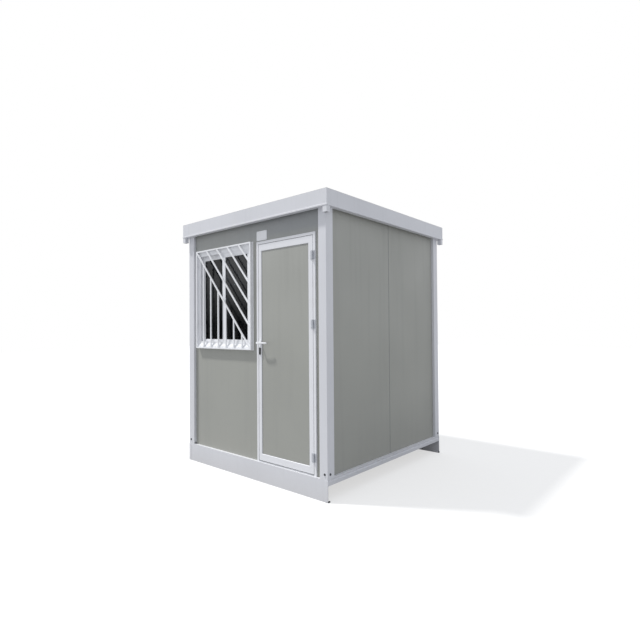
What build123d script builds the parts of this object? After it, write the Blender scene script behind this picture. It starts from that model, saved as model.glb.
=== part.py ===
"""Security guard booth: a sandwich-panel cabin on a pressed-steel base, with a barred window and one door.

Millimetres. The front wall, with the window and the door, faces -Y. The origin lies on the ground at the middle
of the plan, and +Z points up.
"""
import os
from math import atan2, degrees

from build123d import *

os.makedirs("parts", exist_ok=True)

# Overall sizes, over the corner posts and over the roof
booth_width = 2000.0
booth_depth = 2000.0
booth_height = 2600.0
roof_overhang = 50.0

# Base beams under the front and rear walls: pressed channels with a toe at the ground
beam_height = 184.0
beam_sheet = 4.0
beam_flange = 75.0
beam_toe = 22.0

# Side rails between the beams
rail_bottom = 136.0
rail_height = 62.0
rail_flange = 70.0
rail_sheet = 4.0
rail_groove_depth = 5.0
rail_groove_height = 9.0
rail_groove_below_top = 16.0

# Floor
joist_height = 46.0
joist_flange = 40.0
joist_sheet = 3.0
joist_count = 4
floor_thickness = 18.0
floor_gap = 1.0

# Corner posts: closed roll-formed sections
post_face = 90.0
post_sheet = 3.0
post_bend = 5.0

# Sandwich panels, set back from the faces of the posts
panel_setback = 28.0
panel_thickness = 40.0
seam_chamfer = 2.0

# Roof: fascia with a gutter behind it, and ribbed sandwich panels
fascia_height = 142.0
fascia_sheet = 3.0
fascia_hem_height = 12.0
fascia_hem_depth = 3.0
fascia_top_return = 25.0
gutter_upstand = 40.0
roof_panel_thickness = 40.0
roof_panel_lap = 20.0
rib_height = 36.0
rib_base = 64.0
rib_top = 26.0
rib_pitch = 245.0
outlet_size = 44.0
outlet_sheet = 3.0
outlet_length = 55.0

# Window in the left part of the front wall
window_left_margin = 143.0
window_door_gap = 65.0
window_height = 1050.0
window_top_drop = 313.0
casing_sheet = 14.0
grille_depth = 12.0
grille_projection = 8.0
grille_bar = 13.5
grille_border = 14.0
diagonal_count = 5
vertical_count = 7
sill_rise_front = 27.0
sill_rise_back = 55.0
frame_face_depth = 18.0
frame_depth = 62.0
frame_side_sight = 36.0
frame_head_sight = 46.0
frame_bottom_sight = 20.0
frame_lap = 16.0
frame_lap_bottom = 4.0
frame_fit = 1.0
track_depth = 8.0
track_width = 25.0
track_wall = 4.0
sash_thickness = 24.0
sash_stile = 39.0
sash_head = 54.0
sash_bottom = 30.0
sash_meeting = 46.0
sash_bead = 3.0
glass_thickness = 5.0
glass_bite = 8.0
running_gap = 0.5

# Door in the right part of the front wall, hinged on the right and opening outward
door_frame_right_margin = 138.0
door_frame_width = 751.0
door_frame_drop = 326.0
door_frame_face = 24.0
door_frame_depth = 60.0
door_face_depth = 15.0
door_stop = 10.0
door_stop_depth = 15.0
threshold_height = 10.0
threshold_lip = 12.0
leaf_gap = 5.0
leaf_lock_gap = 7.0
leaf_thickness = 40.0
lock_stile = 38.0
hinge_stile = 52.0
leaf_rail = 63.0
infill_thickness = 24.0
infill_setback = 6.0
leaf_bead = 4.0
infill_bite = 8.0
groove_fit = 0.3

# Hinges: the lowest is placed from the foot of the door frame, the other two from its head
lower_hinge_rise = 158.0
middle_hinge_drop = 794.0
upper_hinge_drop = 200.0
hinge_length = 76.0
barrel_radius = 7.5
barrel_web = 1.5
pin_radius = 4.0
pin_fit = 0.05
hinge_face_gap = 1.0
hinge_plate = 3.0
hinge_plate_width = 16.0
knuckle_gap = 0.3

# Lever handle and lock
handle_height = 1309.0
handle_backset = 20.0
neck_radius = 8.0
neck_fit = 0.3
rose_width = 28.0
rose_height = 62.0
rose_thickness = 6.0
rose_round = 13.0
lever_reach = 50.0
lever_length = 121.0
lever_thickness = 12.0
lever_root = 20.0
lever_tip = 15.0
lever_bow = 5.0
lever_edge = 3.0
lock_drop = 78.0
lock_height = 70.0
cylinder_radius = 8.5
cylinder_neck = 10.0
cylinder_drop = 24.0

# Places worked out from the sizes above
half_width = booth_width / 2
half_depth = booth_depth / 2
front = -half_depth
roof_bottom = booth_height - fascia_height
wall_top = roof_bottom + gutter_upstand
rail_top = rail_bottom + rail_height
floor_top = rail_bottom + rail_sheet + joist_height + floor_thickness
panel_inner = panel_setback + panel_thickness
wall_front = front + panel_setback
door_right = half_width - door_frame_right_margin
door_left = door_right - door_frame_width
door_frame_top = booth_height - door_frame_drop
window_top = booth_height - window_top_drop
window_bottom = window_top - window_height


def at_depth(depth):
    """Y of a point that lies this far behind the faces of the front posts."""
    return front + depth


# Base beams

for beam_name, side in (("front_base_beam", -1), ("rear_base_beam", 1)):
    face_y = side * half_depth
    with BuildPart() as base_beam:
        with BuildSketch(Plane.YZ.offset(-half_width)):
            with BuildLine():
                Polyline(
                    (face_y, 0),
                    (face_y, beam_height),
                    (face_y - side * beam_flange, beam_height),
                    (face_y - side * beam_flange, beam_height - beam_sheet),
                    (face_y - side * beam_sheet, beam_height - beam_sheet),
                    (face_y - side * beam_sheet, beam_sheet),
                    (face_y - side * beam_toe, beam_sheet),
                    (face_y - side * beam_toe, 0),
                    close=True,
                )
            make_face()
        extrude(amount=booth_width)
        # The top flange stops at the side rails, and the web runs on to the corners.
        notch_y = side * (half_depth - beam_sheet - beam_flange / 2)
        for end in (-1, 1):
            notch_x = end * (half_width - rail_flange / 2)
            with Locations((notch_x, notch_y, rail_top)):
                Box(rail_flange, beam_flange, 2 * rail_height, mode=Mode.SUBTRACT)
    base_beam.part.label = beam_name
    export_step(base_beam.part, f"parts/{beam_name}.step")


# Side rails: grooved channels, open towards the floor

rail_length = booth_depth - 2 * beam_sheet

for rail_name, side in (("left_side_rail", -1), ("right_side_rail", 1)):
    outer = side * half_width
    inner = side * (half_width - rail_flange)
    web = side * (half_width - rail_sheet)
    groove = side * (half_width - rail_groove_depth)
    groove_back = side * (half_width - rail_groove_depth - rail_sheet)
    groove_top = rail_top - rail_groove_below_top
    groove_bottom = groove_top - rail_groove_height
    with BuildPart() as rail:
        with BuildSketch(Plane.XZ):
            with BuildLine():
                Polyline(
                    (inner, rail_bottom),
                    (outer, rail_bottom),
                    (outer, groove_bottom - rail_groove_depth),
                    (groove, groove_bottom),
                    (groove, groove_top),
                    (outer, groove_top + rail_groove_depth),
                    (outer, rail_top),
                    (inner, rail_top),
                    (inner, rail_top - rail_sheet),
                    (web, rail_top - rail_sheet),
                    (web, groove_top + rail_groove_depth),
                    (groove_back, groove_top),
                    (groove_back, groove_bottom),
                    (web, groove_bottom - rail_groove_depth),
                    (web, rail_bottom + rail_sheet),
                    (inner, rail_bottom + rail_sheet),
                    close=True,
                )
            make_face()
        extrude(amount=rail_length / 2, both=True)
    rail.part.label = rail_name
    export_step(rail.part, f"parts/{rail_name}.step")


# Floor joists: channels from rail to rail, standing on the rails' lower flanges

joist_half = half_width - rail_groove_depth - rail_sheet - floor_gap
joist_bottom = rail_bottom + rail_sheet
joist_span = booth_depth - 2 * beam_flange - 2 * joist_flange
joist_pitch = joist_span / (joist_count - 1)

with BuildPart() as joists:
    for index in range(joist_count):
        joist_y = -joist_span / 2 + index * joist_pitch
        with BuildSketch(Plane.YZ.offset(-joist_half)):
            with Locations((joist_y, joist_bottom + joist_height / 2)):
                Rectangle(joist_flange, joist_height)
            with Locations((joist_y + joist_sheet, joist_bottom + joist_height / 2)):
                Rectangle(joist_flange, joist_height - 2 * joist_sheet, mode=Mode.SUBTRACT)
        extrude(amount=2 * joist_half)
joists.part.label = "floor_joists"
export_step(joists.part, "parts/floor_joists.step")

# Floor board: between the walls, cut off at the posts, with a notch for the back of the door frame

board_half_width = half_width - max(panel_inner, rail_flange) - floor_gap
board_half_depth = half_depth - panel_inner - floor_gap
board_corner_inset = (half_width - board_half_width) + (half_depth - board_half_depth)
board_corner_cut = post_face + panel_inner + 2 * floor_gap - board_corner_inset
door_frame_back = door_face_depth + door_frame_depth

with BuildPart() as floor_board:
    with BuildSketch(Plane.XY.offset(floor_top - floor_thickness)):
        board = Rectangle(2 * board_half_width, 2 * board_half_depth)
        chamfer(board.vertices(), length=board_corner_cut)
        with Locations(((door_left + door_right) / 2, front)):
            Rectangle(
                door_frame_width + 2 * floor_gap,
                2 * (door_frame_back + floor_gap),
                mode=Mode.SUBTRACT,
            )
    extrude(amount=floor_thickness)
floor_board.part.label = "floor_board"
export_step(floor_board.part, "parts/floor_board.step")


# Corner posts: closed sections with a chamfered inner corner

panel_corner = panel_inner


def corner_plane(side_x, side_y, height):
    """Plane at a corner of the booth whose two axes run inward along the two walls."""
    corner = (side_x * half_width, side_y * half_depth, height)
    if side_x * side_y > 0:
        return Plane(origin=corner, x_dir=(-side_x, 0, 0), z_dir=(0, 0, 1))
    return Plane(origin=corner, x_dir=(0, -side_y, 0), z_dir=(0, 0, 1))


post_names = {
    (-1, -1): "front_left_post",
    (1, -1): "front_right_post",
    (-1, 1): "rear_left_post",
    (1, 1): "rear_right_post",
}

for (side_x, side_y), post_name in post_names.items():
    with BuildPart() as post:
        with BuildSketch(corner_plane(side_x, side_y, beam_height)):
            with BuildLine():
                Polyline(
                    (0, 0),
                    (post_face, 0),
                    (post_face, panel_corner),
                    (panel_corner, post_face),
                    (0, post_face),
                    close=True,
                )
            face = make_face()
            fillet(face.vertices(), radius=post_bend)
            offset(amount=-post_sheet, mode=Mode.SUBTRACT)
        extrude(amount=wall_top - beam_height)
        # Only the front sheet reaches down over the end of the side rail.
        foot_x = side_x * (half_width - post_face / 2)
        foot_y = side_y * (half_depth - beam_sheet - post_face / 2)
        with Locations((foot_x, foot_y, beam_height)):
            Box(
                post_face + rail_sheet,
                post_face,
                2 * (rail_top - beam_height),
                mode=Mode.SUBTRACT,
            )
    post.part.label = post_name
    export_step(post.part, f"parts/{post_name}.step")


# Front wall: one panel with the window, one over the door, and a narrow one beside the door

post_edge = half_width - post_face
window_left = -half_width + window_left_margin
window_right = door_left - window_door_gap

opening_left = window_left + casing_sheet + frame_lap
opening_right = window_right - casing_sheet - frame_lap
opening_bottom = window_bottom + sill_rise_back + frame_lap_bottom
opening_top = window_top - casing_sheet - frame_lap


front_wall = Plane.XZ.offset(-wall_front)


def panel_outline(left, right, bottom, top, mode=Mode.ADD):
    """Rectangle between these sides, in the plane of the sketch that is open."""
    with Locations(((left + right) / 2, (bottom + top) / 2)):
        Rectangle(right - left, top - bottom, mode=mode)


with BuildPart() as front_window_panel:
    with BuildSketch(front_wall):
        panel_outline(-post_edge, door_left, beam_height, wall_top)
        panel_outline(opening_left, opening_right, opening_bottom, opening_top, mode=Mode.SUBTRACT)
    extrude(amount=-panel_thickness)
front_window_panel.part.label = "front_window_panel"
export_step(front_window_panel.part, "parts/front_window_panel.step")

with BuildPart() as front_panel_over_door:
    with BuildSketch(front_wall):
        panel_outline(door_left, door_right, door_frame_top, wall_top)
    extrude(amount=-panel_thickness)
front_panel_over_door.part.label = "front_panel_over_door"
export_step(front_panel_over_door.part, "parts/front_panel_over_door.step")

with BuildPart() as front_panel_beside_door:
    with BuildSketch(front_wall):
        panel_outline(door_right, post_edge, beam_height, wall_top)
    extrude(amount=-panel_thickness)
front_panel_beside_door.part.label = "front_panel_beside_door"
export_step(front_panel_beside_door.part, "parts/front_panel_beside_door.step")


# Side and rear walls: two panels each, with a fine groove at the seam between them

def wall_panel(name, plane, left, right, bottom):
    """One wall panel, drawn on the wall's outer face and extruded inward, with its upright edges chamfered."""
    with BuildPart() as panel:
        with BuildSketch(plane):
            panel_outline(left, right, bottom, wall_top)
        extrude(amount=-panel_thickness)
        upright = panel.edges().filter_by(Axis.Z)
        chamfer(upright, length=seam_chamfer)
    panel.part.label = name
    export_step(panel.part, f"parts/{name}.step")


side_reach = half_depth - post_face
rear_reach = half_width - post_face
right_wall = Plane(origin=(half_width - panel_setback, 0, 0), x_dir=(0, 1, 0), z_dir=(1, 0, 0))
left_wall = Plane(origin=(panel_setback - half_width, 0, 0), x_dir=(0, -1, 0), z_dir=(-1, 0, 0))
rear_wall = Plane(origin=(0, half_depth - panel_setback, 0), x_dir=(-1, 0, 0), z_dir=(0, 1, 0))

wall_panel("right_wall_panel_front", right_wall, -side_reach, 0, rail_top)
wall_panel("right_wall_panel_rear", right_wall, 0, side_reach, rail_top)
wall_panel("left_wall_panel_rear", left_wall, -side_reach, 0, rail_top)
wall_panel("left_wall_panel_front", left_wall, 0, side_reach, rail_top)
wall_panel("rear_wall_panel_right", rear_wall, -rear_reach, 0, beam_height)
wall_panel("rear_wall_panel_left", rear_wall, 0, rear_reach, beam_height)


# Fascias: a hemmed sheet with a return along its top, and a gutter behind it

fascia_inside = roof_overhang - fascia_sheet
fascia_sides = {
    "front_fascia": (half_width, half_depth, (0, -1, 0)),
    "rear_fascia": (half_width, half_depth, (0, 1, 0)),
    "left_fascia": (half_depth, half_width, (-1, 0, 0)),
    "right_fascia": (half_depth, half_width, (1, 0, 0)),
}

for fascia_name, (half_run, distance, outward) in fascia_sides.items():
    outward = Vector(*outward)
    along = outward.cross(Vector(0, 0, 1))
    section_plane = Plane(
        origin=outward * distance - along * (half_run + roof_overhang),
        x_dir=outward,
        z_dir=along,
    )
    with BuildPart() as fascia:
        with BuildSketch(section_plane):
            with BuildLine():
                Polyline(
                    (0, wall_top),
                    (0, roof_bottom),
                    (roof_overhang, roof_bottom),
                    (roof_overhang, roof_bottom + fascia_hem_height),
                    (roof_overhang - fascia_hem_depth, roof_bottom + fascia_hem_height + fascia_hem_depth),
                    (roof_overhang - fascia_hem_depth, booth_height),
                    (fascia_inside - fascia_hem_depth - fascia_top_return, booth_height),
                    (fascia_inside - fascia_hem_depth - fascia_top_return, booth_height - fascia_sheet),
                    (fascia_inside - fascia_hem_depth, booth_height - fascia_sheet),
                    (fascia_inside - fascia_hem_depth, roof_bottom + fascia_sheet),
                    (fascia_sheet, roof_bottom + fascia_sheet),
                    (fascia_sheet, wall_top),
                    close=True,
                )
            make_face()
        extrude(amount=2 * (half_run + roof_overhang))
        for end in (-1, 1):
            mitre = Plane(
                origin=outward * distance + along * (end * half_run),
                x_dir=(0, 0, 1),
                z_dir=along * end - outward,
            )
            split(bisect_by=mitre, keep=Keep.BOTTOM)
    fascia.part.label = fascia_name
    export_step(fascia.part, f"parts/{fascia_name}.step")


# Rainwater outlets: open square tubes under the gutter's corners

with BuildPart() as outlets:
    with BuildSketch(Plane.XY.offset(roof_bottom)):
        outlet_centre_x = half_width + roof_overhang / 2
        outlet_centre_y = half_depth + roof_overhang / 2
        with GridLocations(2 * outlet_centre_x, 2 * outlet_centre_y, 2, 2):
            Rectangle(outlet_size, outlet_size)
            inside = outlet_size - 2 * outlet_sheet
            Rectangle(inside, inside, mode=Mode.SUBTRACT)
    extrude(amount=-outlet_length)
outlets.part.label = "rainwater_outlets"
export_step(outlets.part, "parts/rainwater_outlets.step")


# Roof: two sandwich panels with raised ribs from front to rear

roof_reach = half_depth + roof_panel_lap
roof_panel_width = half_width + roof_panel_lap
roof_plane = Plane.XZ.offset(-roof_reach)
rib_count = int(roof_panel_width // rib_pitch)

for roof_name, side in (("left_roof_panel", -1), ("right_roof_panel", 1)):
    panel_middle = side * roof_panel_width / 2
    with BuildPart() as roof_panel:
        with BuildSketch(roof_plane):
            with Locations((panel_middle, wall_top + roof_panel_thickness / 2)):
                Rectangle(roof_panel_width, roof_panel_thickness)
            for index in range(rib_count):
                rib_x = panel_middle + (index - (rib_count - 1) / 2) * rib_pitch
                rib_foot = wall_top + roof_panel_thickness
                with BuildLine():
                    Polyline(
                        (rib_x - rib_base / 2, rib_foot),
                        (rib_x - rib_top / 2, rib_foot + rib_height),
                        (rib_x + rib_top / 2, rib_foot + rib_height),
                        (rib_x + rib_base / 2, rib_foot),
                        close=True,
                    )
                make_face()
        extrude(amount=2 * roof_reach)
    roof_panel.part.label = roof_name
    export_step(roof_panel.part, f"parts/{roof_name}.step")


# Window casing: three cheeks round the window that carry the grille, and a sloped sill below

def depth_plane(depth):
    """Plane seen from the front, at this depth behind the faces of the front posts, facing outward."""
    return Plane.XZ.offset(-at_depth(depth))


grille_back = grille_depth - grille_projection
casing_depth = panel_setback - grille_back
inner_left = window_left + casing_sheet
inner_right = window_right - casing_sheet
inner_top = window_top - casing_sheet
sill_top = window_bottom + sill_rise_back

with BuildPart() as window_casing:
    with BuildSketch(depth_plane(grille_back)):
        panel_outline(window_left, window_right, window_bottom, window_top)
        panel_outline(inner_left, inner_right, window_bottom, inner_top, mode=Mode.SUBTRACT)
    extrude(amount=-casing_depth)
window_casing.part.label = "window_casing"
export_step(window_casing.part, "parts/window_casing.step")

with BuildPart() as window_sill:
    with BuildSketch(Plane.YZ.offset(inner_left)):
        with BuildLine():
            Polyline(
                (at_depth(grille_back), window_bottom),
                (at_depth(grille_back), window_bottom + sill_rise_front),
                (at_depth(frame_face_depth), sill_top),
                (at_depth(panel_setback), sill_top),
                (at_depth(panel_setback), window_bottom),
                close=True,
            )
        make_face()
    extrude(amount=inner_right - inner_left)
window_sill.part.label = "window_sill"
export_step(window_sill.part, "parts/window_sill.step")


# Window frame: a flanged ring through the wall, with two tracks for the sashes

ring_left = opening_left + frame_fit
ring_right = opening_right - frame_fit
ring_bottom = opening_bottom + frame_fit
ring_top = opening_top - frame_fit
sight_left = inner_left + frame_side_sight
sight_right = inner_right - frame_side_sight
sight_bottom = sill_top + frame_bottom_sight
sight_top = inner_top - frame_head_sight
outer_track = frame_face_depth + track_wall
inner_track = outer_track + track_width + track_wall

with BuildPart() as window_frame:
    with BuildSketch(depth_plane(frame_face_depth)):
        panel_outline(inner_left, inner_right, sill_top, inner_top)
    extrude(amount=frame_face_depth - panel_setback)
    with BuildSketch(depth_plane(panel_setback)):
        panel_outline(ring_left, ring_right, ring_bottom, ring_top)
    extrude(amount=panel_setback - frame_face_depth - frame_depth)
    with BuildSketch(depth_plane(frame_face_depth)):
        panel_outline(sight_left, sight_right, sight_bottom, sight_top)
    extrude(amount=-frame_depth, mode=Mode.SUBTRACT)
    for track in (outer_track, inner_track):
        with BuildSketch(depth_plane(track)):
            panel_outline(
                sight_left - track_depth,
                sight_right + track_depth,
                sight_bottom - track_depth,
                sight_top + track_depth,
            )
        extrude(amount=-track_width, mode=Mode.SUBTRACT)
window_frame.part.label = "window_frame"
export_step(window_frame.part, "parts/window_frame.step")


# Sashes: the right one runs in the outer track and the left one in the inner track

sash_bottom_edge = sight_bottom - track_depth
sash_top_edge = sight_top + track_depth - running_gap
sash_left_edge = sight_left - track_depth
sash_right_edge = sight_right + track_depth
meeting_middle = (sash_left_edge + sash_right_edge) / 2
sash_face = (track_width - sash_thickness) / 2

sashes = {
    "right": (meeting_middle - sash_meeting / 2, sash_right_edge, outer_track, sash_meeting, sash_stile),
    "left": (sash_left_edge, meeting_middle + sash_meeting / 2, inner_track, sash_stile, sash_meeting),
}

for sash_side, (left, right, track, left_stile, right_stile) in sashes.items():
    pane_left = left + left_stile
    pane_right = right - right_stile
    pane_bottom = sash_bottom_edge + sash_bottom
    pane_top = sash_top_edge - sash_head
    sash_plane = depth_plane(track + sash_face)
    bite = glass_bite
    with BuildPart() as sash:
        with BuildSketch(sash_plane):
            panel_outline(left, right, sash_bottom_edge, sash_top_edge)
            panel_outline(pane_left, pane_right, pane_bottom, pane_top, mode=Mode.SUBTRACT)
        extrude(amount=-sash_thickness)
        with BuildSketch(sash_plane.offset(-(sash_thickness - glass_thickness) / 2)):
            panel_outline(pane_left - bite, pane_right + bite, pane_bottom - bite, pane_top + bite)
        extrude(amount=-glass_thickness, mode=Mode.SUBTRACT)
        faces = sash.faces().filter_by(Axis.Y).sort_by(Axis.Y)
        for face in (faces[0], faces[-1]):
            chamfer(face.inner_wires()[0].edges(), length=sash_bead)
    sash.part.label = f"{sash_side}_sash"
    export_step(sash.part, f"parts/{sash_side}_sash.step")

    bite = glass_bite - groove_fit
    with BuildPart() as pane:
        with BuildSketch(sash_plane.offset(-(sash_thickness - glass_thickness) / 2)):
            panel_outline(pane_left - bite, pane_right + bite, pane_bottom - bite, pane_top + bite)
        extrude(amount=-glass_thickness)
    pane.part.label = f"{sash_side}_glass_pane"
    export_step(pane.part, f"parts/{sash_side}_glass_pane.step")


# Grille: a border, diagonals at equal steps above the main one, and uprights below it

bars_left = window_left + grille_border / 2
bars_right = window_right - grille_border / 2
bars_bottom = window_bottom + grille_border / 2
bars_top = window_top - grille_border / 2
bars_width = bars_right - bars_left
bars_height = bars_top - bars_bottom


def grille_rod(start, end):
    """One straight bar of the grille between two points of its sketch."""
    run = Vector(*end) - Vector(*start)
    middle = (Vector(*start) + Vector(*end)) / 2
    with Locations((middle.X, middle.Y)):
        Rectangle(run.length, grille_bar, rotation=degrees(atan2(run.Y, run.X)))


with BuildPart() as window_grille:
    with BuildSketch(depth_plane(-grille_projection)):
        panel_outline(window_left, window_right, window_bottom, window_top)
        panel_outline(
            window_left + grille_border,
            window_right - grille_border,
            window_bottom + grille_border,
            window_top - grille_border,
            mode=Mode.SUBTRACT,
        )
        for index in range(diagonal_count):
            share = index / diagonal_count
            grille_rod(
                (bars_left + share * bars_width, bars_top),
                (bars_right, bars_bottom + share * bars_height),
            )
        for index in range(1, vertical_count):
            share = index / vertical_count
            upright_x = bars_left + share * bars_width
            grille_rod((upright_x, bars_bottom), (upright_x, bars_top - share * bars_height))
    extrude(amount=-grille_depth)
window_grille.part.label = "window_grille"
export_step(window_grille.part, "parts/window_grille.step")


# Door frame: mitred jambs and head with a stop behind the leaf, and a threshold

frame_inner_left = door_left + door_frame_face
frame_inner_right = door_right - door_frame_face
frame_inner_top = door_frame_top - door_frame_face
stop_depth = door_frame_back - door_stop_depth


def frame_member(name, origin, inward, run_direction, run, mitres):
    """One side of the door frame: section from its outer edge inward, extruded along its run and mitred."""
    inward = Vector(*inward)
    with BuildPart() as member:
        section_plane = Plane(origin=origin, x_dir=inward, z_dir=run_direction)
        deeper = section_plane.y_dir.Y
        with BuildSketch(section_plane):
            with BuildLine():
                Polyline(
                    (0, 0),
                    (door_frame_face, 0),
                    (door_frame_face, deeper * (stop_depth - door_face_depth)),
                    (door_frame_face + door_stop, deeper * (stop_depth - door_face_depth)),
                    (door_frame_face + door_stop, deeper * door_frame_depth),
                    (0, deeper * door_frame_depth),
                    close=True,
                )
            make_face()
        extrude(amount=run)
        for mitre in mitres:
            split(bisect_by=mitre, keep=Keep.BOTTOM)
    member.part.label = name
    export_step(member.part, f"parts/{name}.step")


face_y = at_depth(door_face_depth)
jamb_height = door_frame_top - beam_height
frame_member(
    "door_frame_left_jamb",
    (door_left, face_y, beam_height),
    (1, 0, 0),
    (0, 0, 1),
    jamb_height,
    [Plane(origin=(door_left, face_y, door_frame_top), x_dir=(0, 1, 0), z_dir=(1, 0, 1))],
)
frame_member(
    "door_frame_right_jamb",
    (door_right, face_y, beam_height),
    (-1, 0, 0),
    (0, 0, 1),
    jamb_height,
    [Plane(origin=(door_right, face_y, door_frame_top), x_dir=(0, 1, 0), z_dir=(-1, 0, 1))],
)
frame_member(
    "door_frame_head",
    (door_left, face_y, door_frame_top),
    (0, 0, -1),
    (1, 0, 0),
    door_frame_width,
    [
        Plane(origin=(door_left, face_y, door_frame_top), x_dir=(0, 1, 0), z_dir=(-1, 0, -1)),
        Plane(origin=(door_right, face_y, door_frame_top), x_dir=(0, 1, 0), z_dir=(1, 0, -1)),
    ],
)

threshold_back = at_depth(door_frame_back)
threshold_step = at_depth(stop_depth)
with BuildPart() as door_threshold:
    with BuildSketch(Plane.YZ.offset(frame_inner_left)):
        with BuildLine():
            Polyline(
                (face_y, beam_height),
                (face_y, beam_height + threshold_height),
                (threshold_step, beam_height + threshold_height),
                (threshold_step, beam_height + threshold_height + threshold_lip),
                (threshold_back, beam_height + threshold_height + threshold_lip),
                (threshold_back, beam_height),
                close=True,
            )
        make_face()
    extrude(amount=frame_inner_right - frame_inner_left)
    # The lip stops between the stops of the two jambs.
    for jamb_x in (frame_inner_left, frame_inner_right):
        with Locations((jamb_x, threshold_step, beam_height + threshold_height + threshold_lip / 2)):
            Box(
                2 * door_stop,
                2 * door_stop_depth,
                2 * threshold_height + threshold_lip,
                mode=Mode.SUBTRACT,
            )
door_threshold.part.label = "door_threshold"
export_step(door_threshold.part, "parts/door_threshold.step")


# Door leaf: a welded frame with a groove that holds the infill panel

leaf_left = frame_inner_left + leaf_lock_gap
leaf_right = frame_inner_right - leaf_gap
leaf_bottom = beam_height + threshold_height + leaf_gap
leaf_top = frame_inner_top - leaf_gap
infill_left = leaf_left + lock_stile
infill_right = leaf_right - hinge_stile
infill_bottom = leaf_bottom + leaf_rail
infill_top = leaf_top - leaf_rail
leaf_plane = depth_plane(door_face_depth)
spindle_x = leaf_left + handle_backset
bore_radius = neck_radius + neck_fit

with BuildPart() as door_leaf_frame:
    with BuildSketch(leaf_plane):
        panel_outline(leaf_left, leaf_right, leaf_bottom, leaf_top)
        panel_outline(infill_left, infill_right, infill_bottom, infill_top, mode=Mode.SUBTRACT)
        with Locations((spindle_x, handle_height)):
            Circle(bore_radius, mode=Mode.SUBTRACT)
    extrude(amount=-leaf_thickness)
    bite = infill_bite
    with BuildSketch(leaf_plane.offset(-infill_setback)):
        panel_outline(infill_left - bite, infill_right + bite, infill_bottom - bite, infill_top + bite)
    extrude(amount=-infill_thickness, mode=Mode.SUBTRACT)
    faces = door_leaf_frame.faces().filter_by(Axis.Y).sort_by(Axis.Y)
    for face in (faces[0], faces[-1]):
        inner_outline = face.inner_wires().sort_by(SortBy.LENGTH)[-1]
        chamfer(inner_outline.edges(), length=leaf_bead)
door_leaf_frame.part.label = "door_leaf_frame"
export_step(door_leaf_frame.part, "parts/door_leaf_frame.step")

bite = infill_bite - groove_fit
with BuildPart() as door_infill_panel:
    with BuildSketch(leaf_plane.offset(-infill_setback)):
        panel_outline(infill_left - bite, infill_right + bite, infill_bottom - bite, infill_top + bite)
    extrude(amount=-infill_thickness)
door_infill_panel.part.label = "door_infill_panel"
export_step(door_infill_panel.part, "parts/door_infill_panel.step")


# Hinges: each has a lower knuckle with a pin on the frame and an upper knuckle on the leaf

hinge_x = (leaf_right + frame_inner_right) / 2
hinge_y = face_y - hinge_face_gap - barrel_radius
knuckle = (hinge_length - knuckle_gap) / 2
plate_start = barrel_radius + barrel_web
hinge_heights = (
    beam_height + lower_hinge_rise,
    door_frame_top - middle_hinge_drop,
    door_frame_top - upper_hinge_drop,
)


def hinge_leaf(direction, lowest, bore, with_pin):
    """Barrel and plate of one half of a hinge, drawn upward from its lowest point."""
    start = Plane(origin=(hinge_x, hinge_y, lowest))
    with BuildSketch(start) as barrel:
        Circle(barrel_radius)
        with Locations((direction * plate_start / 2, face_y - hinge_y - hinge_plate / 2)):
            Rectangle(plate_start, hinge_plate)
        if bore:
            Circle(bore, mode=Mode.SUBTRACT)
    extrude(barrel.sketch, amount=knuckle)
    if with_pin:
        with BuildSketch(start) as pin:
            Circle(pin_radius)
        extrude(pin.sketch, amount=hinge_length - knuckle_gap)


for hinge_node, direction, rises in (("hinge_frame_leaves", 1, False), ("hinge_door_leaves", -1, True)):
    with BuildPart() as hinge_set:
        for hinge_height in hinge_heights:
            base = hinge_height - hinge_length / 2
            if rises:
                hinge_leaf(direction, base + knuckle + knuckle_gap, pin_radius + pin_fit, False)
            else:
                hinge_leaf(direction, base, None, True)
            plate_x = hinge_x + direction * (plate_start + hinge_plate_width / 2)
            with BuildSketch(Plane(origin=(plate_x, face_y - hinge_plate / 2, base))):
                Rectangle(hinge_plate_width, hinge_plate)
            extrude(amount=hinge_length)
    hinge_set.part.label = hinge_node
    export_step(hinge_set.part, f"parts/{hinge_node}.step")


# Handle roses and lock escutcheons, on both faces of the leaf

back_y = face_y + leaf_thickness
lock_z = handle_height - lock_drop
fitting_planes = (leaf_plane, Plane.XZ.offset(-(back_y + rose_thickness)))

with BuildPart() as handle_roses:
    for plane in fitting_planes:
        with BuildSketch(plane):
            with Locations((spindle_x, handle_height)):
                RectangleRounded(rose_width, rose_height, rose_round)
                Circle(bore_radius, mode=Mode.SUBTRACT)
        extrude(amount=rose_thickness)
handle_roses.part.label = "handle_roses"
export_step(handle_roses.part, "parts/handle_roses.step")

with BuildPart() as lock_escutcheons:
    for plane in fitting_planes:
        with BuildSketch(plane):
            with Locations((spindle_x, lock_z)):
                RectangleRounded(rose_width, lock_height, rose_round)
            # Opening for a profile cylinder: a round key end above a narrower neck.
            with Locations((spindle_x, lock_z + cylinder_drop / 2)):
                Circle(cylinder_radius, mode=Mode.SUBTRACT)
            with Locations((spindle_x, lock_z)):
                SlotCenterToCenter(
                    cylinder_drop,
                    cylinder_neck,
                    rotation=90,
                    mode=Mode.SUBTRACT,
                )
        extrude(amount=rose_thickness)
lock_escutcheons.part.label = "lock_escutcheons"
export_step(lock_escutcheons.part, "parts/lock_escutcheons.step")


# Lever handle: a tapered and bowed grip, its mirror image inside, and the spindle that joins them

grip_face = face_y - lever_reach
grip_start = spindle_x - lever_root
grip_end = spindle_x + lever_length + lever_root
grip_middle = (grip_start + grip_end) / 2

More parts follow.
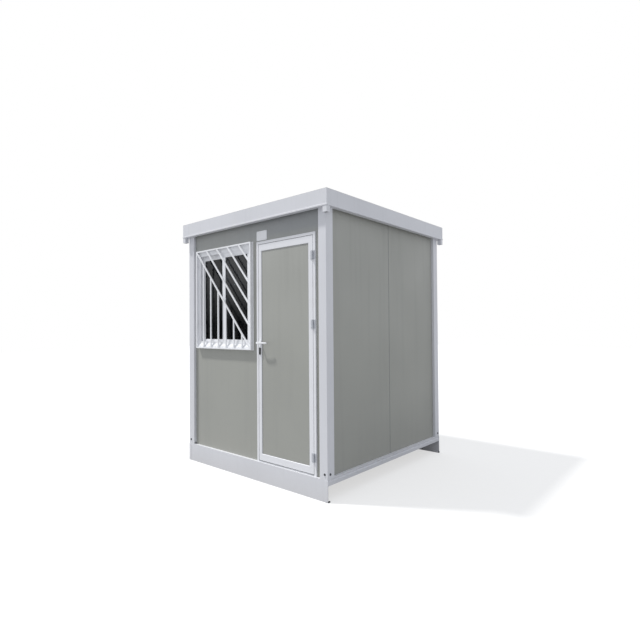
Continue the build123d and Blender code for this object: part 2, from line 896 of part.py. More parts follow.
with BuildPart() as lever_grip:
    with BuildSketch(Plane.XZ.offset(-(grip_face - 2 * lever_bow))):
        with Locations((spindle_x, handle_height)):
            Circle(lever_root / 2)
        with Locations((spindle_x + lever_length, handle_height)):
            Circle(lever_tip / 2)
        make_hull()
    extrude(amount=-(lever_thickness + 4 * lever_bow))
    with BuildSketch(Plane.XY.offset(handle_height - lever_root)):
        with BuildLine():
            ThreePointArc(
                (grip_start, grip_face),
                (grip_middle, grip_face - lever_bow),
                (grip_end, grip_face + lever_bow),
            )
            Line((grip_end, grip_face + lever_bow), (grip_end, grip_face + lever_bow + lever_thickness))
            ThreePointArc(
                (grip_end, grip_face + lever_bow + lever_thickness),
                (grip_middle, grip_face - lever_bow + lever_thickness),
                (grip_start, grip_face + lever_thickness),
            )
            Line((grip_start, grip_face + lever_thickness), (grip_start, grip_face))
        make_face()
    extrude(amount=2 * lever_root, mode=Mode.INTERSECT)
    fillet(lever_grip.edges(), radius=lever_edge)

leaf_middle_y = face_y + leaf_thickness / 2
neck_front = grip_face + lever_thickness / 2
neck_plane = Plane.XZ.offset(-neck_front)

with BuildPart() as lever_handle:
    with BuildSketch(neck_plane):
        with Locations((spindle_x, handle_height)):
            Circle(neck_radius)
    extrude(amount=-2 * (leaf_middle_y - neck_front))
    add(lever_grip.part)
    add(mirror(lever_grip.part, about=Plane.XZ.offset(-leaf_middle_y), mode=Mode.PRIVATE))
lever_handle.part.label = "lever_handle"
export_step(lever_handle.part, "parts/lever_handle.step")
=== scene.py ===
# %% [markdown]
# Security guard booth
#
# The booth is a small site cabin: a pressed steel base, four corner posts, insulated wall panels, a
# flat roof behind a deep fascia, a barred window and one door. Its solids come ready from the CAD
# model as a fixed frame, in metres, with the front wall facing -Y and the ground at z = 0. This
# file gives every part its finish, adds the small parts that a builder fits last, and sets up the
# camera and the light.

from math import radians

import bmesh
import bpy
import numpy as np
from mathutils import Matrix, Vector


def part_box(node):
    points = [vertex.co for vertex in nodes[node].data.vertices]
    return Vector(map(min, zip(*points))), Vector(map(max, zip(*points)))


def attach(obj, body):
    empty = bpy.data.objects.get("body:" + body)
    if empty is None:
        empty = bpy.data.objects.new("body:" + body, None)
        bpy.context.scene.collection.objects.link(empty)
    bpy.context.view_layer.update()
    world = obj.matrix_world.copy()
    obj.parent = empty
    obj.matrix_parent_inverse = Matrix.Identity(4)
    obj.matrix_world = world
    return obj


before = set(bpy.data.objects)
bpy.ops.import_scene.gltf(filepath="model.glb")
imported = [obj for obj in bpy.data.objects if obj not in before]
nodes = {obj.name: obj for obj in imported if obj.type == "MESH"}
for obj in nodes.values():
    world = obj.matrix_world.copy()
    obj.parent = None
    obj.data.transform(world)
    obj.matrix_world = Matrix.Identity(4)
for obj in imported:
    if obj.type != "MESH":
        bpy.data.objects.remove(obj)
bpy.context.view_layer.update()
print("parts from the CAD model:", len(nodes))

# %% [markdown]
# The camera
#
# The picture was taken at eye height, from the right of the front corner, with a fairly wide lens.
# The place and the turn below come from matching the corners of the roof, the base and the door
# with the picture. The turn is written as a heading, a small tilt and a small roll, and the three
# camera axes follow from them. Blender could also aim a camera with a Track To constraint, but a
# constraint leaves no room for the roll.

# %% Camera
eye = np.array([3.4539, -3.9185, 1.4489])
heading, tilt, roll = -0.71368, 0.01668, -0.00703
focal_pixels = 459.4
picture_pixels = 640

look = np.array([np.sin(heading) * np.cos(tilt), np.cos(heading) * np.cos(tilt), np.sin(tilt)])
level = np.array([np.cos(heading), -np.sin(heading), 0.0])
upright = np.cross(level, look)
right = level * np.cos(roll) + upright * np.sin(roll)
up = np.cross(right, look)

camera_data = bpy.data.cameras.new("camera")
camera_data.sensor_width = 36.0
camera_data.lens = 36.0 * focal_pixels / picture_pixels
camera = bpy.data.objects.new("camera", camera_data)
turn = np.eye(4)
turn[:3, :3] = np.stack([right, up, -look], axis=1)
turn[:3, 3] = eye
camera.matrix_world = Matrix(turn.tolist())
bpy.context.scene.collection.objects.link(camera)
bpy.context.scene.camera = camera
print("lens in mm:", round(camera_data.lens, 2))

# %% [markdown]
# Shader maths as sums
#
# A Blender material is a graph of nodes. Drawn by hand, one sum such as 1 - mask * 0.3 takes two
# Math nodes and three wires. The class below wraps a socket, so that the same sum can be written as
# it is read, and each operator adds its node. Numbers go through Math nodes, colours through a Mix
# node, because a Math node would turn a colour grey. Every other node comes from one method, which
# sets the node's own settings first.

# %% The socket class
class Flow:
    """A shader socket that can be used in sums. Each operator adds one Math node to the socket's tree."""

    def __init__(self, tree, made=None, output=0):
        self.tree = tree
        self.made = made
        self.socket = made.outputs[output] if made and made.outputs else None

    def out(self, output):
        """Another output of the same node."""
        return Flow(self.tree, self.made, output)

    def node(self, kind, settings=None, values=None, output=0):
        """Any other node: its settings first, then each socket's value or link, by name or number."""
        made = self.tree.nodes.new(kind)
        for name, value in (settings or {}).items():
            setattr(made, name, value)
        for name, value in (values or {}).items():
            if isinstance(value, Flow):
                self.tree.links.new(value.socket, made.inputs[name])
            elif len(np.shape(value)) == 1 and len(value) == 3 and made.inputs[name].type == "RGBA":
                made.inputs[name].default_value = (*value, 1.0)
            else:
                made.inputs[name].default_value = value
        return Flow(self.tree, made, output)

    def sum(self, operation, *terms):
        """A Math node over these terms."""
        return self.node("ShaderNodeMath", {"operation": operation}, dict(enumerate(terms)))

    def __add__(self, other):
        return self.sum("ADD", self, other)

    __radd__ = __add__

    def __mul__(self, other):
        return self.sum("MULTIPLY", self, other)

    __rmul__ = __mul__

    def __sub__(self, other):
        return self.sum("SUBTRACT", self, other)

    def __rsub__(self, other):
        return self.sum("SUBTRACT", other, self)

    def __abs__(self):
        return self.sum("ABSOLUTE", self)

    def __gt__(self, other):
        return self.sum("GREATER_THAN", self, other)

    def __lt__(self, other):
        return self.sum("LESS_THAN", self, other)

    def rise(self, low, high):
        """0 below low, 1 above high, and a straight climb between them."""
        return self.node(
            "ShaderNodeMapRange",
            {"clamp": True},
            {"Value": self, "From Min": low, "From Max": high, "To Min": 0.0, "To Max": 1.0},
        )

    def mix(self, here, there):
        """The colour here where this mask is 0, and the colour there where it is 1."""
        return self.node("ShaderNodeMix", {"data_type": "RGBA"}, {0: self, 6: here, 7: there}, output=2)


print("methods ready:", [name for name, value in vars(Flow).items() if callable(value)])


# %% [markdown]
# Colours as they are seen
#
# Colour pickers and pictures use the sRGB scale from 0 to 255, and shaders work in linear light.
# The helper below changes one into the other, so that the numbers in this file can be compared with
# a picture.

# %% Colour helper
def seen(red, green, blue):
    """Linear colour of an sRGB colour: a straight part near black, and a power of 2.4 above it."""
    value = np.array([red, green, blue]) / 255.0
    return tuple(np.where(value <= 0.04045, value / 12.92, ((value + 0.055) / 1.055) ** 2.4).tolist())


print("mid grey in linear light:", round(seen(128, 128, 128)[0], 3))


# %% [markdown]
# One way to start a material
#
# Every finish on the booth is a Principled shader whose colour, roughness and bump are worked out
# from the place on the object. Object coordinates are used, because the parts share one frame: a
# stain runs on from one part to the next, and it stays on a part when a door turns. What is the
# same all over a surface is set as a plain number on the shader.

# %% Material helper
materials = {}


def finish(name, recipe, relief=0.0, **constants):
    """Material whose recipe gives colour, roughness and height; relief is the height's depth in metres."""
    material = bpy.data.materials.new(name)
    material.use_nodes = True
    tree = material.node_tree
    tree.nodes.clear()
    flow = Flow(tree)
    place = flow.node("ShaderNodeTexCoord").out("Object")
    look_of = recipe(flow, place)
    values = {"Base Color": look_of["colour"], "Roughness": look_of["roughness"]}
    values |= {socket: look_of[socket] for socket in ("Metallic", "Coat Weight") if socket in look_of}
    if "height" in look_of:
        values["Normal"] = flow.node(
            "ShaderNodeBump", values={"Strength": 1.0, "Distance": relief, "Height": look_of["height"]}
        )
    shader = flow.node("ShaderNodeBsdfPrincipled", values=values)
    for socket, value in constants.items():
        shader.made.inputs[socket.replace("_", " ")].default_value = value
    if "film" in look_of:
        dust = flow.node("ShaderNodeBsdfDiffuse", values={"Color": look_of["film_colour"]})
        shader = flow.node("ShaderNodeMixShader", values={0: look_of["film"], 1: shader, 2: dust})
    flow.node("ShaderNodeOutputMaterial", values={"Surface": shader})
    materials[name] = material
    print("finish:", name, "with", len(tree.nodes), "nodes")


def noise(flow, place, scale, detail=4.0, stretch=(1.0, 1.0, 1.0)):
    """Noise from 0 to 1 with that many bumps a metre, drawn out along an axis where stretch is below 1."""
    drawn = flow.node("ShaderNodeMapping", values={"Vector": place, "Scale": stretch})
    return flow.node("ShaderNodeTexNoise", values={"Vector": drawn, "Scale": scale, "Detail": detail})


def axes(flow, place):
    """The three coordinates of a place, each as a number."""
    parts = flow.node("ShaderNodeSeparateXYZ", values={"Vector": place})
    return parts, parts.out(1), parts.out(2)


# %% [markdown]
# Paint on the steel
#
# Posts, base beams, rails and fascia are steel sheet with an off-white powder coat. Close to, such
# a coat has a fine ripple like the skin of an orange, which a weak bump gives. Outdoors it gathers
# dust: a little along the foot, where rain splashes earth against it, a layer on top of the roof's
# rim, and faint streaks down the faces. Dirt could be painted by hand on a texture, but noise
# stretched along z gives streaks on every face.

# %% Paint
paint_white = seen(217, 218, 223)
paint_dull = seen(205, 206, 210)
splash_brown = seen(168, 162, 152)
settled_dust = seen(150, 150, 146)
rim_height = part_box("front_fascia")[1].z
rim_depth = 0.001


def paint_recipe(flow, place):
    """Off-white coat, clouded, with rain streaks, a dusty foot, dust on the rim and a fine ripple."""
    _, _, z = axes(flow, place)
    clouds = noise(flow, place, 1.7, 3.0)
    streaks = noise(flow, place, 26.0, 3.0, stretch=(1.0, 1.0, 0.06))
    speckle = noise(flow, place, 140.0, 2.0)
    foot = 1.0 - (z + 0.10 * clouds).rise(0.03, 0.26)
    dull = (clouds.rise(0.35, 0.75) * 0.5 + streaks.rise(0.55, 0.8) * 0.35).rise(0.0, 1.0)
    clean = dull.mix(paint_white, paint_dull)
    dusty = (foot * speckle.rise(0.3, 0.7) * 0.38).mix(clean, splash_brown)
    dusty = (z > rim_height - rim_depth).mix(dusty, settled_dust)
    ripple = noise(flow, place, 420.0, 2.0)
    return {
        "colour": dusty,
        "roughness": 0.38 + 0.16 * clouds + 0.2 * foot,
        "height": ripple,
    }


finish("powder_coat", paint_recipe, relief=0.00012, Specular_IOR_Level=0.45)


# %% [markdown]
# Skins of the wall panels
#
# The walls are sandwich panels: two thin coated sheets with foam between them. Outside the coat is
# a warm mid grey, made a little lighter towards the top. Under the eaves of the front wall a painted
# shade makes it darker and bluer, most of all over the door, where the fascia's shadow falls, and a
# painted shade darkens the seam between two panels. Inside it is white. One material does all of
# this, because every zone is known by its place. The sheet is rolled with a very fine grain, and
# large sheets are never quite flat, so a broad soft wave bends the reflections a little.

# %% Panel skins
panel_grey = seen(160, 161, 155)
panel_shade = seen(152, 153, 148)
panel_lighter_top = seen(170, 171, 166)
panel_inside = seen(226, 227, 224)
# Colour of the painted shade under the front eaves.
panel_painted_eaves_shade = seen(146, 149, 152)
seam_painted_shade = seen(96, 99, 104)
side_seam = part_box("right_wall_panel_front")[1].y
rear_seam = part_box("rear_wall_panel_left")[1].x
cabin_half_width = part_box("right_wall_panel_front")[0].x
cabin_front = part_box("door_infill_panel")[1].y
cabin_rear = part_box("rear_wall_panel_left")[0].y
cabin_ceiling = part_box("left_roof_panel")[0].z
skin_depth = 0.004
eaves_foot, eaves_top = 2.25, 2.34
seam_half, seam_edge = 0.003, 0.006


def seam_line(distance):
    """Mask of a thin line: 1 within half its width of the seam, and 0 past its soft edge."""
    return 1.0 - abs(distance).rise(seam_half, seam_edge)


def panel_recipe(flow, place):
    """Grey outside, lighter up high, painted shade under the eaves and at seams, white inside, with clouds,
    streaks and a dusty foot.
    """
    x, y, z = axes(flow, place)
    clouds = noise(flow, place, 1.1, 4.0)
    streaks = noise(flow, place, 14.0, 4.0, stretch=(1.0, 1.0, 0.05))
    speckle = noise(flow, place, 160.0, 2.0)
    foot = 1.0 - (z + 0.2 * clouds).rise(0.2, 0.55)
    dull = (clouds.rise(0.3, 0.7) * 0.55 + streaks.rise(0.5, 0.8) * 0.4).rise(0.0, 1.0)
    # The coat is made a little lighter towards the top.
    upper_lighter = z.rise(1.1, 2.3).mix(panel_grey, panel_lighter_top)
    outside = (foot * speckle.rise(0.35, 0.75) * 0.25).mix(dull.mix(upper_lighter, panel_shade), splash_brown)
    # Painted shade: under the front eaves, where the fascia's shadow falls, the grey turns darker and
    # bluer, most of all over the door.
    painted_eaves_shade = z.rise(eaves_foot, eaves_top) * (y < cabin_front) * (0.4 + 0.45 * x.rise(-0.5, 0.5))
    outside = painted_eaves_shade.mix(outside, panel_painted_eaves_shade)
    # Painted shade along the seams between the panels of the side and rear walls.
    side_seam_shade = seam_line(y - side_seam) * (z < cabin_ceiling)
    rear_seam_shade = seam_line(x - rear_seam) * (y > cabin_rear)
    outside = ((side_seam_shade + rear_seam_shade) * 0.55).mix(outside, seam_painted_shade)
    inward = (abs(x) < cabin_half_width + skin_depth) * (y > cabin_front - skin_depth)
    inward = inward * (y < cabin_rear + skin_depth) * (z < cabin_ceiling + skin_depth)
    grain = noise(flow, place, 300.0, 2.0, stretch=(1.0, 1.0, 0.35))
    wave = noise(flow, place, 2.2, 1.0)
    return {
        "colour": inward.mix(outside, panel_inside),
        "roughness": 0.42 + 0.18 * clouds,
        "height": grain * 0.05 + wave,
    }


finish("panel_skin", panel_recipe, relief=0.0012, Specular_IOR_Level=0.4)


# %% [markdown]
# White profiles of the window and the door
#
# The window's frame, sashes and bars are a brighter and smoother white than the posts, and so are
# the lever and its roses. The frame and leaf of the door and the window's casing are a little
# duller. A trace of grime stays on both whites. A plain white would look like plaster, so the gloss
# changes gently along each profile. Two whites from one recipe need a function that returns the
# recipe.

# %% White profiles
profile_grime = seen(206, 206, 205)


def profile_recipe(white):
    """Recipe of a smooth white: a trace of grime and a gentle change of gloss."""
    def recipe(flow, place):
        clouds = noise(flow, place, 5.0, 4.0)
        fine = noise(flow, place, 90.0, 3.0)
        grime = (clouds * 0.6 + fine * 0.4).rise(0.52, 0.75)
        return {
            "colour": (grime * 0.5).mix(white, profile_grime),
            "roughness": 0.26 + 0.16 * clouds,
            "height": noise(flow, place, 500.0, 1.0),
        }
    return recipe


finish("window_white", profile_recipe(seen(238, 239, 242)), relief=0.00005, Specular_IOR_Level=0.5)
finish("door_white", profile_recipe(seen(228, 229, 233)), relief=0.00005, Specular_IOR_Level=0.5)


# %% [markdown]
# Glass
#
# The panes are real solids, 5 mm thick, so a transmissive shader shows the cabin behind them. The
# cabin is dim and the panes are tinted, so they look nearly black in daylight. Their upper half
# mirrors the sky more than the lower half does, which a clear coat that grows with height gives,
# and the bars of the grille show in that mirror as dark stripes. The index of the glass itself is
# set low: outdoors the panes mirror a dark street, and here they would mirror a white studio. A
# very thin matte film of dust, added by a Mix Shader, catches the sun. It is bluish and grows with
# height, so that it also paints part of the sky's reflection on the upper half.

# %% Glass
glass_tint = seen(64, 73, 82)
glass_streak = seen(66, 72, 76)
film_dust_and_sky = seen(196, 205, 216)
dull_height, bright_height = 1.50, 1.95
right_pane_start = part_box("right_glass_pane")[0].x


def glass_recipe(flow, place):
    """Blue-grey tint, a dust film that also paints some sky reflection up high, and a mirror coat that
    grows with height.
    """
    x, _, z = axes(flow, place)
    upper = z.rise(dull_height, bright_height)
    cloud = noise(flow, place, 7.0, 5.0, stretch=(1.0, 1.0, 0.5))
    return {
        "colour": cloud.mix(glass_tint, glass_streak),
        "roughness": 0.01 + 0.04 * cloud,
        "Coat Weight": upper * (0.5 + 0.3 * (x > right_pane_start)) * (0.8 + 0.4 * cloud),
        # The film paints part of the sky's reflection: bluish, and thicker towards the top.
        "film": 0.004 + upper * 0.02 * cloud,
        "film_colour": film_dust_and_sky,
    }


finish("window_glass", glass_recipe, Transmission_Weight=1.0, IOR=1.1)


# %% [markdown]
# Bare metal
#
# The threshold is drawn aluminium, whose fine lines run along it. The hinges and most of the screws
# are zinc plated steel, a slightly mottled grey. Both have gone dull outdoors, the zinc most of
# all. A bright metal shows only its reflections, so Metallic is lowered here, and a part of the
# colour stays their own.

# %% Metals
tread_pale, tread_worn = seen(190, 192, 196), seen(178, 180, 184)
zinc_pale, zinc_dull = seen(204, 207, 212), seen(176, 179, 186)


def threshold_recipe(flow, place):
    """Light metal with fine lines along X and scuffs where feet pass."""
    lines = noise(flow, place, 700.0, 2.0, stretch=(0.02, 1.0, 1.0))
    scuffs = noise(flow, place, 30.0, 5.0)
    return {
        "colour": scuffs.rise(0.4, 0.7).mix(tread_pale, tread_worn),
        "roughness": 0.42 + 0.1 * scuffs + 0.1 * lines,
        "Metallic": 0.7 - 0.1 * scuffs.rise(0.55, 0.8),
        "height": lines,
    }


def zinc_recipe(flow, place):
    """Grey metal with a mottled plating and duller patches."""
    patches = flow.node("ShaderNodeTexVoronoi", values={"Vector": place, "Scale": 240.0}, output=0)
    clouds = noise(flow, place, 60.0, 4.0)
    return {
        "colour": (patches * 0.6 + clouds * 0.4).rise(0.1, 0.7).mix(zinc_pale, zinc_dull),
        "roughness": 0.3 + 0.3 * clouds,
        "Metallic": 0.25 - 0.15 * clouds.rise(0.5, 0.8),
        "height": clouds,
    }


finish("drawn_aluminium", threshold_recipe, relief=0.00003)
finish("zinc_plate", zinc_recipe, relief=0.00004)


# %% [markdown]
# Rubber and black plastic
#
# Seals and glazing gaskets are extruded rubber, the lock has a black plastic cover, and the bolts
# are blacked steel. All three are dark and differ in how matte they are. Rubber gets a bloom, a
# pale haze that comes out in the open air, as a lighter colour in soft patches.

# %% Dark materials
def dark_recipe(deep, bloom, matte, grains):
    """Recipe of a dark matte surface: deep colour with patches of bloom, and a fine grain."""
    def recipe(flow, place):
        patches = noise(flow, place, 12.0, 4.0)
        grain = noise(flow, place, grains, 2.0)
        return {
            "colour": (patches.rise(0.4, 0.75) * 0.7).mix(deep, bloom),
            "roughness": matte + 0.2 * patches,
            "height": grain,
        }
    return recipe


finish("black_rubber", dark_recipe(seen(34, 35, 37), seen(58, 59, 60), 0.55, 900.0), relief=0.00006)
finish("grey_rubber", dark_recipe(seen(128, 129, 131), seen(150, 150, 151), 0.5, 900.0), relief=0.00006)
finish("black_plastic", dark_recipe(seen(28, 29, 31), seen(44, 45, 47), 0.3, 1400.0), relief=0.00002)
finish("black_steel", dark_recipe(seen(52, 54, 60), seen(74, 74, 76), 0.35, 700.0), relief=0.00003)


# %% [markdown]
# Floor board
#
# The floor is a water-resistant plywood board. Its face veneer shows long wavy grain along the
# booth's depth, made by stretching noise and running it through a wave.

# %% Floor board
veneer_pale, veneer_dark = seen(150, 118, 84), seen(112, 84, 56)
rings_a_metre, ring_bend, full_turn = 34.0, 9.0, 6.2832


def board_recipe(flow, place):
    """Brown veneer: a wave across X, bent by stretched noise, with a matte seal."""
    bend = noise(flow, place, 3.0, 4.0, stretch=(1.0, 0.12, 1.0))
    x, _, _ = axes(flow, place)
    turns = (x * rings_a_metre + bend * ring_bend) * full_turn
    rings = turns.sum("SINE", turns)
    pores = noise(flow, place, 320.0, 2.0, stretch=(1.0, 0.05, 1.0))
    grain = rings.rise(-1.0, 1.0) * 0.2 + pores * 0.5 + 0.1
    return {
        "colour": grain.mix(veneer_pale, veneer_dark),
        "roughness": 0.5 + 0.2 * pores,
        "height": pores,
    }


finish("plywood", board_recipe, relief=0.0002)


# %% [markdown]
# Put the finishes on the parts
#
# A CAD part whose shape is right stays as it is and only gets its material. The record names the
# finish of every part, and the table below says which material stands for which of those names. The
# window's profiles and the lever share a name with the door's frame there, so they are listed by
# part.

# %% Dress the CAD parts
finish_of = {
    "paint": "powder_coat",
    "panel_grey": "panel_skin",
    "white_profile": "door_white",
    "threshold_metal": "drawn_aluminium",
    "hinge_metal": "zinc_plate",
    "glass": "window_glass",
    "floor_wood": "plywood",
}
bright_nodes = (
    "window_sill",
    "window_frame",
    "left_sash",
    "right_sash",
    "window_grille",
    "lever_handle",
    "handle_roses",
)
for name, node in nodes.items():
    packed_finish = node.material_slots[0].material.name
    slot = next(slot for slot in finish_of if packed_finish.startswith(slot))
    chosen = "window_white" if name in bright_nodes else finish_of[slot]
    node.data.materials.clear()
    node.data.materials.append(materials[chosen])
print("parts dressed:", len(nodes), "of them in the brighter white:", len(bright_nodes))


# %% [markdown]
# Bodies made of rings
#
# Every small part below is a stack of rings: a screw is a circle that changes its radius as it
# rises, a gasket is one section carried round a window. Blender could make them with primitives and
# booleans, but rings from numpy arrays keep each edge where it is wanted and make all the copies of
# a part in one go. The faces are quads from ring to ring, with a polygon on each open end, and at
# the end every face is turned outward.

# %% Ring helper
smooth_angle = radians(35)


def ring_mesh(name, rings, looped=False):
    """Closed bodies from rings, given as an array of copies x rings x points x 3.

    Point p of ring r is joined with point p + 1 and with the same two points of ring r + 1. A looped body
    joins its last ring to its first, any other gets a polygon on both ends.
    """
    rings = np.asarray(rings, float)
    copies, count, points = rings.shape[:3]
    index = np.arange(copies * count * points).reshape(copies, count, points)
    near = index if looped else index[:, :-1]
    far = np.roll(index, -1, axis=1) if looped else index[:, 1:]
    quads = np.stack([near, np.roll(near, -1, axis=2), np.roll(far, -1, axis=2), far], axis=-1)
    faces = quads.reshape(-1, 4).tolist()
    if not looped:
        faces += index[:, 0, ::-1].tolist() + index[:, -1].tolist()
    mesh = bpy.data.meshes.new(name)
    mesh.from_pydata(rings.reshape(-1, 3).tolist(), [], faces)
    shell = bmesh.new()
    shell.from_mesh(mesh)
    bmesh.ops.recalc_face_normals(shell, faces=shell.faces)
    shell.to_mesh(mesh)
    shell.free()
    mesh.shade_smooth()
    mesh.set_sharp_from_angle(angle=smooth_angle)
    return mesh


def fit(mesh, material, body):
    """Give a part its material and put it on the body that carries it."""
    mesh.materials.append(materials[material])
    piece = bpy.data.objects.new(mesh.name, mesh)
    bpy.context.scene.collection.objects.link(piece)
    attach(piece, body)
    print(f"{piece.name}: {len(mesh.polygons)} faces on the {body}")


# %% [markdown]
# Screws, rivets and bolts
#
# A fastener is a turned part. Its profile is a short list of radius and height, and the function
# turns it round any axis at any number of places. A hexagon is the same circle drawn in between its
# corners: the radius is multiplied by cos 30 and divided by the cosine of the angle from the middle
# of the nearest flat.

# %% Turned parts
def turned(profile, spots, facing, sides=12, hexagonal=()):
    """Rings of turned parts: spot + height * facing + radius * (cos t * across + sin t * over).

    The rings whose numbers are in hexagonal are drawn in to six flats between corners at that radius.
    """
    radius, height = np.asarray(profile, float).T
    spots = np.atleast_2d(np.asarray(spots, float))
    facing = np.broadcast_to(np.asarray(facing, float), spots.shape)
    helper = np.where(np.abs(facing[:, 2:]) > 0.5, [[1.0, 0.0, 0.0]], [[0.0, 0.0, 1.0]])
    across = np.cross(facing, helper)
    over = np.cross(facing, across)
    angle = np.linspace(0.0, 2.0 * np.pi, sides, endpoint=False)
    flat = np.cos(np.pi / 6) / np.cos(angle % (np.pi / 3) - np.pi / 6)
    reach = radius[:, None] * np.where(np.isin(np.arange(len(radius)), hexagonal)[:, None], flat, 1.0)
    circle = np.cos(angle)[:, None] * across[:, None] + np.sin(angle)[:, None] * over[:, None]
    rise = height[:, None, None] * facing[:, None, None]
    return spots[:, None, None] + rise + reach[..., None] * circle[:, None]


def dome(radius, height):
    """Profile of a low rounded head that starts a little under the surface."""
    crown = [(0.82 * radius, 0.7 * height), (0.4 * radius, height)]
    return [(radius, -0.0004), (radius, 0.25 * height), *crown]


def grid(*values):
    """Every combination of these coordinates, one place a row."""
    return np.stack(np.meshgrid(*values, indexing="ij"), axis=-1).reshape(-1, len(values))


def on_four_sides(profile, low, high, inset, heights, sunk=0.0, **more):
    """Turned parts that face outward on all four sides of a box, that far in from its upright corners."""
    across, along = [low.x + inset, high.x - inset], [low.y + inset, high.y - inset]
    return np.concatenate([
        turned(profile, grid(across, [low.y + sunk], heights), (0, -1, 0), **more),
        turned(profile, grid(across, [high.y - sunk], heights), (0, 1, 0), **more),
        turned(profile, grid([low.x + sunk], along, heights), (-1, 0, 0), **more),
        turned(profile, grid([high.x - sunk], along, heights), (1, 0, 0), **more),
    ])


print("rings of a rivet:", turned(dome(0.003, 0.0012), (0, 0, 0), (0, -1, 0)).shape)


# %% [markdown]
# Bolts at the feet of the posts
#
# Each post is bolted to the base through both of its outer sheets, just above the corner. The bolts
# are blacked steel with a washer. They are one ring stack: the washer first, then a step in to the
# hexagon head and a small chamfer on top.

# %% Foot bolts
low_corner, high_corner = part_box("front_base_beam")[0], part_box("rear_base_beam")[1]
bolt_rise, bolt_inset = 0.228, 0.033
bolt_profile = [
    (0.0105, -0.0005),
    (0.0105, 0.0016),
    (0.0098, 0.0022),
    (0.0072, 0.0022),
    (0.0072, 0.0066),
    (0.0060, 0.0075),
]
head_rings = (3, 4, 5)
foot_bolts = on_four_sides(
    bolt_profile, low_corner, high_corner, bolt_inset, [bolt_rise], hexagonal=head_rings
)
fit(ring_mesh("post_foot_bolts", foot_bolts), "black_steel", "booth")


# %% [markdown]
# Rivets in the fascia
#
# The four fascia sheets meet in mitres at the corners of the roof. Close to each mitre two blind
# rivets hold either sheet to the angle behind it. They are painted over with the sheet, whose face
# lies a hem's depth inside the box of the roof.

# %% Fascia rivets
fascia_low, fascia_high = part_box("front_fascia")[0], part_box("rear_fascia")[1]
rivet_inset, rivet_rise, rivet_drop = 0.034, 0.038, 0.030
rivet_heights = [fascia_low.z + rivet_rise, fascia_high.z - rivet_drop]
hem_depth = 0.003
fascia_rivets = on_four_sides(
    dome(0.004, 0.0016), fascia_low, fascia_high, rivet_inset, rivet_heights, sunk=hem_depth
)
fit(ring_mesh("fascia_rivets", fascia_rivets), "powder_coat", "booth")


# %% [markdown]
# Plates with rounded corners
#
# A thin plate is a rounded rectangle in a few layers: each layer has its own inset and depth, so
# that the last one makes a small bevel round the front edge. The corner arcs come from one formula,
# the centre of the corner plus the radius times the cosine and sine of the angle.

# %% Rounded plates
corner_steps = 6


def rounded_outline(left, right, bottom, top, radius):
    """Places and outward normals round a rectangle with rounded corners, as two arrays of x and z."""
    angle = np.linspace(0.0, 0.5 * np.pi, corner_steps) + np.arange(4)[:, None] * 0.5 * np.pi
    centre_x = np.array([right - radius, left + radius, left + radius, right - radius])[:, None]
    centre_z = np.array([top - radius, top - radius, bottom + radius, bottom + radius])[:, None]
    normal = np.stack([np.cos(angle), np.sin(angle)], axis=-1).reshape(-1, 2)
    centre = np.stack(np.broadcast_arrays(centre_x, centre_z, angle)[:2], axis=-1).reshape(-1, 2)
    return centre + radius * normal, normal


def plate_rings(left, right, bottom, top, radius, layers):
    """Rings of one plate: the outline drawn in by each layer's inset, at that layer's depth along Y."""
    outline, normal = rounded_outline(left, right, bottom, top, radius)
    inset, depth = np.asarray(layers, float).T
    flat = outline - inset[:, None, None] * normal
    along_y = np.broadcast_to(depth[:, None], flat.shape[:2])
    return np.stack([flat[..., 0], along_y, flat[..., 1]], axis=-1)[None]


print("points round a plate:", len(rounded_outline(-1.0, 1.0, -1.0, 1.0, 0.1)[0]))


# %% [markdown]
# The bare plate over the door
#
# A small pale plate is riveted to the wall panel over the door, next to the head of its frame. It
# is left bare. The plate is 3 mm of laminate with rounded corners and four rivets.

# %% Plate over the door
wall_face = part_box("front_panel_over_door")[0].y
plate_left, plate_right, plate_bottom, plate_top = 0.1015, 0.2440, 2.2860, 2.3775
plate_thickness, plate_bevel, plate_corner = 0.003, 0.0008, 0.005
plate_front = wall_face - plate_thickness
plate_layers = [(0.0, wall_face), (0.0, plate_front + plate_bevel), (plate_bevel, plate_front)]
door_plate = plate_rings(
    plate_left, plate_right, plate_bottom, plate_top, plate_corner, plate_layers
)
fit(ring_mesh("plate_over_door", door_plate), "window_white", "booth")

plate_rivet_inset = 0.009
plate_rivet_spots = grid(
    [plate_left + plate_rivet_inset, plate_right - plate_rivet_inset],
    [plate_front],
    [plate_bottom + plate_rivet_inset, plate_top - plate_rivet_inset],
)
plate_rivets = turned(dome(0.0032, 0.0014), plate_rivet_spots, (0, -1, 0))
fit(ring_mesh("plate_rivets", plate_rivets), "zinc_plate", "booth")


# %% [markdown]
# Cover and cylinder of the lock
#
# The lock under the lever has a black plastic cover over its plate, with the round face of the
# cylinder and its keyhole in it. The cover is a plate with a beveled edge. The keyhole is a narrow
# slot whose shade is painted: a thin raised plate in black rubber, drawn so because a real slot of
# this size would never be seen to have a depth.

# %% Lock
lock_x = 0.162
lock_low, lock_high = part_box("lock_escutcheons")
lock_face = lock_low.y
lock_z = (lock_low.z + lock_high.z) / 2
cover_half_width, cover_half_height = 0.0135, 0.0345
cover_corner, cover_bevel, cover_thickness = 0.012, 0.0016, 0.0036
cover_front = lock_face - cover_thickness
cover_layers = [(0.0, lock_face), (0.0, cover_front + cover_bevel), (cover_bevel, cover_front)]
lock_cover = plate_rings(
    lock_x - cover_half_width,
    lock_x + cover_half_width,
    lock_z - cover_half_height,
    lock_z + cover_half_height,
    cover_corner,
    cover_layers,
)
fit(ring_mesh("lock_cover", lock_cover), "black_plastic", "door")

